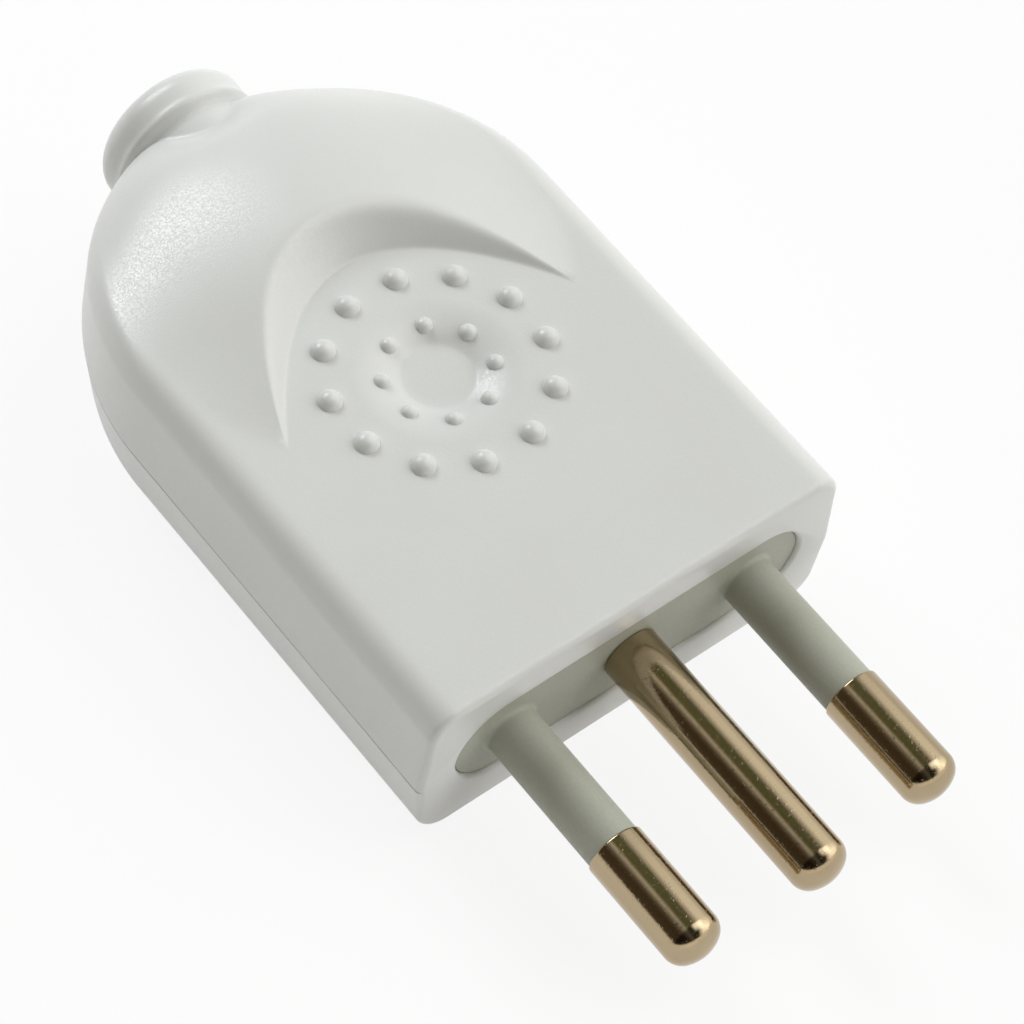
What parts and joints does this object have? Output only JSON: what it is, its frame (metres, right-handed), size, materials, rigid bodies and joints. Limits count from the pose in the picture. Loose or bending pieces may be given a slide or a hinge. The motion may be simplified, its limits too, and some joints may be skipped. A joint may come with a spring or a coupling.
{
  "type": "three-pin plug",
  "caption": "Rewirable mains plug with round in-line pins, sleeved outer pins, a white two-part body with a beaded finger grip and a round cord inlet.",
  "frame": {"origin": "on the middle pin's axis, in the plane of the white front face", "axes": "-Y along the pins away from the body, +Y towards the cord inlet, +X along the row of pins, +Z out of the beaded grip face"},
  "size_m": [0.0332, 0.0701, 0.0178],
  "materials": {
    "shell_plastic": "satin white moulding",
    "carrier_plastic": "smooth grey moulding",
    "plated_brass": "nickel plated, polished",
    "screw_steel": "zinc plated",
    "clamp_plastic": "plain moulding"
  },
  "bodies": {
    "root": {"upper_shell": "shell_plastic", "lower_shell": "shell_plastic", "pin_carrier": "carrier_plastic", "live_pin": "plated_brass", "neutral_pin": "plated_brass", "earth_pin": "plated_brass", "terminal_screws": "screw_steel", "housing_screw": "screw_steel", "cord_clamp_screws": "screw_steel", "cord_clamp": "clamp_plastic"}
  },
  "joints": []
}
